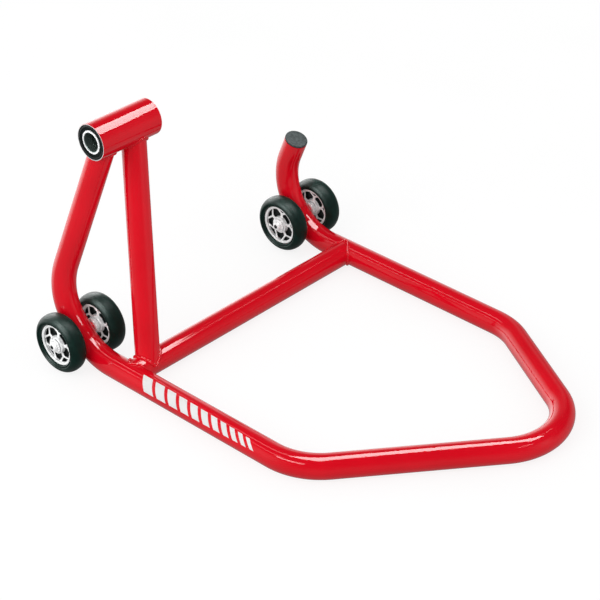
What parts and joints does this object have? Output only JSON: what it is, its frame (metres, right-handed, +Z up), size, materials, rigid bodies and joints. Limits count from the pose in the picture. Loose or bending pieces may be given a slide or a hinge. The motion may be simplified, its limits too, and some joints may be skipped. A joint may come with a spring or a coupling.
{
  "type": "paddock stand",
  "caption": "Bent-tube paddock stand on paired wheels, with a bearing sleeve on one side that takes the hub pin of a motorcycle with a single-sided swingarm.",
  "frame": {"origin": "middle of the footprint, on the floor", "axes": "+Z up, +Y from the handle loop towards the wheels, +X from the side with the bearing sleeve towards the side with the stub"},
  "size_m": [0.6388, 0.7748, 0.408],
  "materials": {
    "red_paint": "gloss powder coat",
    "bearing_steel": "ground and polished",
    "zinc_plate": "bright zinc plate",
    "cast_aluminium": "silver, satin",
    "tyre_rubber": "smooth black rubber",
    "seal_rubber": "matt",
    "cap_plastic": "grained dark grey"
  },
  "bodies": {
    "frame": {"main_tube": "red_paint", "crossbar": "red_paint", "brace_tube": "red_paint", "bearing_sleeve": "red_paint", "stub_end_cap": "cap_plastic", "left_axle_sleeve": "red_paint", "left_axle_bolt": "zinc_plate", "left_lock_nut": "zinc_plate", "left_head_washer": "zinc_plate", "left_nut_washer": "zinc_plate", "right_axle_sleeve": "red_paint", "right_axle_bolt": "zinc_plate", "right_lock_nut": "zinc_plate", "right_head_washer": "zinc_plate", "right_nut_washer": "zinc_plate", "left_outer_wheel_spacer": "zinc_plate", "left_outer_wheel_near_bearing_inner_ring": "bearing_steel", "left_outer_wheel_far_bearing_inner_ring": "bearing_steel", "left_outer_wheel_bearing_spacer": "zinc_plate", "left_inner_wheel_spacer": "zinc_plate", "left_inner_wheel_near_bearing_inner_ring": "bearing_steel", "left_inner_wheel_far_bearing_inner_ring": "bearing_steel", "left_inner_wheel_bearing_spacer": "zinc_plate", "right_inner_wheel_spacer": "zinc_plate", "right_inner_wheel_near_bearing_inner_ring": "bearing_steel", "right_inner_wheel_far_bearing_inner_ring": "bearing_steel", "right_inner_wheel_bearing_spacer": "zinc_plate", "right_outer_wheel_spacer": "zinc_plate", "right_outer_wheel_near_bearing_inner_ring": "bearing_steel", "right_outer_wheel_far_bearing_inner_ring": "bearing_steel", "right_outer_wheel_bearing_spacer": "zinc_plate", "hub_left_bearing_outer_ring": "bearing_steel", "hub_left_outward_seal": "seal_rubber", "hub_left_inward_seal": "seal_rubber", "hub_right_bearing_outer_ring": "bearing_steel", "hub_right_outward_seal": "seal_rubber", "hub_right_inward_seal": "seal_rubber"},
    "left_outer_wheel": {"left_outer_wheel_tyre": "tyre_rubber", "left_outer_wheel_rim": "cast_aluminium", "left_outer_wheel_near_bearing_outer_ring": "bearing_steel", "left_outer_wheel_far_bearing_outer_ring": "bearing_steel"},
    "left_inner_wheel": {"left_inner_wheel_tyre": "tyre_rubber", "left_inner_wheel_rim": "cast_aluminium", "left_inner_wheel_near_bearing_outer_ring": "bearing_steel", "left_inner_wheel_far_bearing_outer_ring": "bearing_steel"},
    "right_inner_wheel": {"right_inner_wheel_tyre": "tyre_rubber", "right_inner_wheel_rim": "cast_aluminium", "right_inner_wheel_near_bearing_outer_ring": "bearing_steel", "right_inner_wheel_far_bearing_outer_ring": "bearing_steel"},
    "right_outer_wheel": {"right_outer_wheel_tyre": "tyre_rubber", "right_outer_wheel_rim": "cast_aluminium", "right_outer_wheel_near_bearing_outer_ring": "bearing_steel", "right_outer_wheel_far_bearing_outer_ring": "bearing_steel"},
    "hub": {"hub_left_bearing_inner_ring": "bearing_steel", "hub_right_bearing_inner_ring": "bearing_steel", "hub_bearing_spacer": "bearing_steel"},
    "hub_left_cage": {"hub_left_ball_cage": "bearing_steel"},
    "hub_right_cage": {"hub_right_ball_cage": "bearing_steel"}
  },
  "joints": [
    {"name": "left_outer_wheel_spin", "type": "hinge", "parent": "frame", "child": "left_outer_wheel", "pos_m": [-0.29965, 0.32659, 0.05], "axis": [1, 0, 0], "continuous": true},
    {"name": "left_inner_wheel_spin", "type": "hinge", "parent": "frame", "child": "left_inner_wheel", "pos_m": [-0.21665, 0.32659, 0.05], "axis": [1, 0, 0], "continuous": true},
    {"name": "right_inner_wheel_spin", "type": "hinge", "parent": "frame", "child": "right_inner_wheel", "pos_m": [0.21035, 0.32659, 0.05], "axis": [1, 0, 0], "continuous": true},
    {"name": "right_outer_wheel_spin", "type": "hinge", "parent": "frame", "child": "right_outer_wheel", "pos_m": [0.29335, 0.32659, 0.05], "axis": [1, 0, 0], "continuous": true},
    {"name": "hub_spin", "type": "hinge", "parent": "frame", "child": "hub", "pos_m": [-0.15715, 0.31659, 0.378], "axis": [1, 0, 0], "continuous": true},
    {"name": "hub_left_cage_spin", "type": "hinge", "parent": "frame", "child": "hub_left_cage", "pos_m": [-0.21035, 0.31659, 0.378], "axis": [1, 0, 0], "continuous": true},
    {"name": "hub_right_cage_spin", "type": "hinge", "parent": "frame", "child": "hub_right_cage", "pos_m": [-0.10395, 0.31659, 0.378], "axis": [1, 0, 0], "continuous": true}
  ],
  "couplings": [
    {"joint": "hub_left_cage_spin", "follows": "hub_spin", "ratio": 0.42},
    {"joint": "hub_right_cage_spin", "follows": "hub_spin", "ratio": 0.42}
  ]
}
